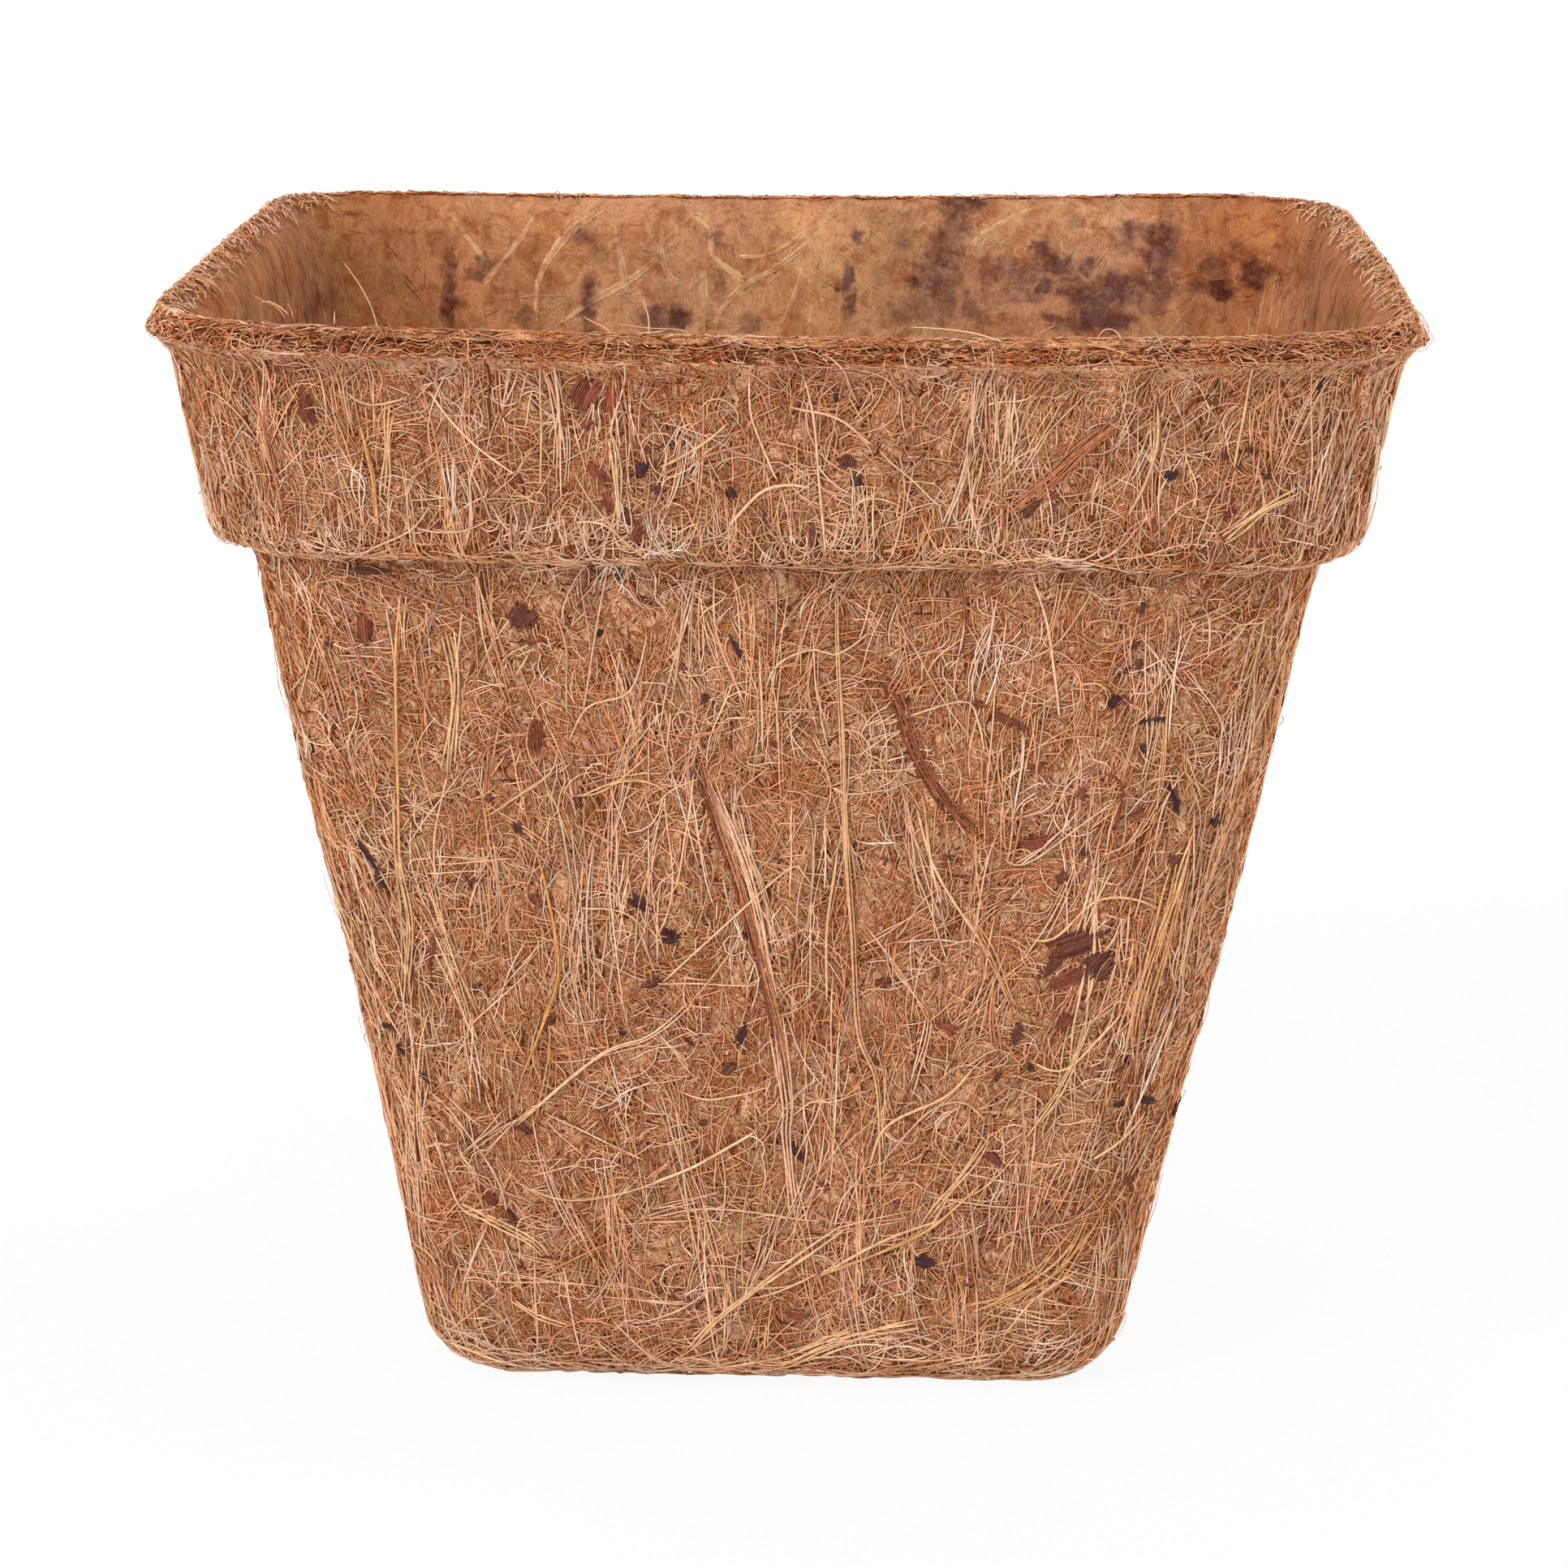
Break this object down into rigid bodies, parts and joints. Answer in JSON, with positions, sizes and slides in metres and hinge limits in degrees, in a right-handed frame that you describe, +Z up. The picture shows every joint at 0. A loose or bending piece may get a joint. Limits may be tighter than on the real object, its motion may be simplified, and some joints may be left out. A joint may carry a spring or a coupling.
{
  "type": "coir plant pot",
  "caption": "Square tapered plant pot moulded from coir fibre felt, with rounded corners, a stepped rim band and an outturned trimmed lip.",
  "frame": {"origin": "centre of the underside, where the pot stands", "axes": "+Z up the pot's axis, towards its mouth; -Y towards the side the picture shows; +X to that side's right"},
  "size_m": [0.15, 0.15, 0.1415],
  "materials": {
    "outer_felt": "matte coir felt, tan brown, latex bonded",
    "core_felt": "open matte coir felt, dark brown",
    "inner_felt": "smooth pressed coir felt, pale tan",
    "pale_fibre": "satin pale coir strand",
    "golden_fibre": "satin golden coir strand",
    "brown_fibre": "satin brown coir strand",
    "grey_fibre": "dull grey-brown coir strand",
    "brown_husk": "matte dark husk strip",
    "red_husk": "matte red-brown husk strip"
  },
  "bodies": {
    "root": {"outer_fibre_layer": "outer_felt", "core_fibre_layer": "core_felt", "inner_fibre_layer": "inner_felt", "long_pale_strand": "pale_fibre", "curled_strand": "pale_fibre", "slanting_strand": "pale_fibre", "low_pale_strand": "pale_fibre", "band_curled_strand": "pale_fibre", "band_edge_strand": "pale_fibre", "rim_upright_strand": "pale_fibre", "rim_arched_strand": "pale_fibre", "golden_strand": "golden_fibre", "upright_wall_strand": "golden_fibre", "low_golden_strand": "golden_fibre", "band_slanting_strand": "golden_fibre", "golden_husk_strip": "golden_fibre", "band_corner_strand": "brown_fibre", "grey_strand": "grey_fibre", "brown_husk_strip": "brown_husk", "red_husk_strip": "red_husk", "band_husk_strip": "red_husk"}
  },
  "joints": []
}
